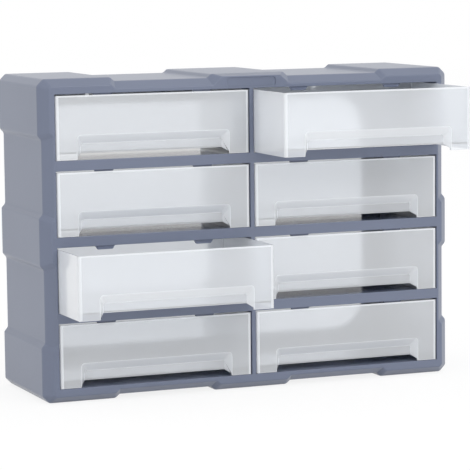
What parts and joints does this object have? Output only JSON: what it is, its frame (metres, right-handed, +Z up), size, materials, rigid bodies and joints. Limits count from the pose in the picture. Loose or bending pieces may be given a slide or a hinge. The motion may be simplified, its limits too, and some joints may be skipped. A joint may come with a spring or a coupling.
{
  "type": "parts bin cabinet",
  "caption": "Bench or wall cabinet for small parts: moulded casing with stepped stacking edges and a grid of translucent sliding drawers with finger pulls.",
  "frame": {"origin": "middle of the underside of the bottom middle block, on the surface that the casing stands on", "axes": "+X to the right seen from the front, +Y from the front to the back, +Z up; drawers slide out along -Y"},
  "size_m": [0.52, 0.25, 0.375],
  "materials": {
    "casing": "fine satin moulded polypropylene",
    "drawers": "translucent natural polypropylene, satin"
  },
  "bodies": {
    "casing": {"left_side": "casing", "right_side": "casing", "top_panel": "casing", "bottom_panel": "casing", "upper_shelf": "casing", "middle_shelf": "casing", "lower_shelf": "casing", "divider_row_1": "casing", "divider_row_2": "casing", "divider_row_3": "casing", "divider_row_4": "casing", "back_rim": "casing"},
    "drawer_row_1_left": {"drawer_row_1_left": "drawers"},
    "drawer_row_1_right": {"drawer_row_1_right": "drawers"},
    "drawer_row_2_left": {"drawer_row_2_left": "drawers"},
    "drawer_row_2_right": {"drawer_row_2_right": "drawers"},
    "drawer_row_3_left": {"drawer_row_3_left": "drawers"},
    "drawer_row_3_right": {"drawer_row_3_right": "drawers"},
    "drawer_row_4_left": {"drawer_row_4_left": "drawers"},
    "drawer_row_4_right": {"drawer_row_4_right": "drawers"}
  },
  "joints": [
    {"name": "drawer_row_1_left_slide", "type": "slide", "parent": "casing", "child": "drawer_row_1_left", "axis": [0, -1, 0], "range_m": [0, 0.146]},
    {"name": "drawer_row_1_right_slide", "type": "slide", "parent": "casing", "child": "drawer_row_1_right", "axis": [0, -1, 0], "range_m": [-0.09, 0.056]},
    {"name": "drawer_row_2_left_slide", "type": "slide", "parent": "casing", "child": "drawer_row_2_left", "axis": [0, -1, 0], "range_m": [0, 0.146]},
    {"name": "drawer_row_2_right_slide", "type": "slide", "parent": "casing", "child": "drawer_row_2_right", "axis": [0, -1, 0], "range_m": [0, 0.146]},
    {"name": "drawer_row_3_left_slide", "type": "slide", "parent": "casing", "child": "drawer_row_3_left", "axis": [0, -1, 0], "range_m": [-0.071, 0.075]},
    {"name": "drawer_row_3_right_slide", "type": "slide", "parent": "casing", "child": "drawer_row_3_right", "axis": [0, -1, 0], "range_m": [0, 0.146]},
    {"name": "drawer_row_4_left_slide", "type": "slide", "parent": "casing", "child": "drawer_row_4_left", "axis": [0, -1, 0], "range_m": [0, 0.146]},
    {"name": "drawer_row_4_right_slide", "type": "slide", "parent": "casing", "child": "drawer_row_4_right", "axis": [0, -1, 0], "range_m": [0, 0.146]}
  ]
}
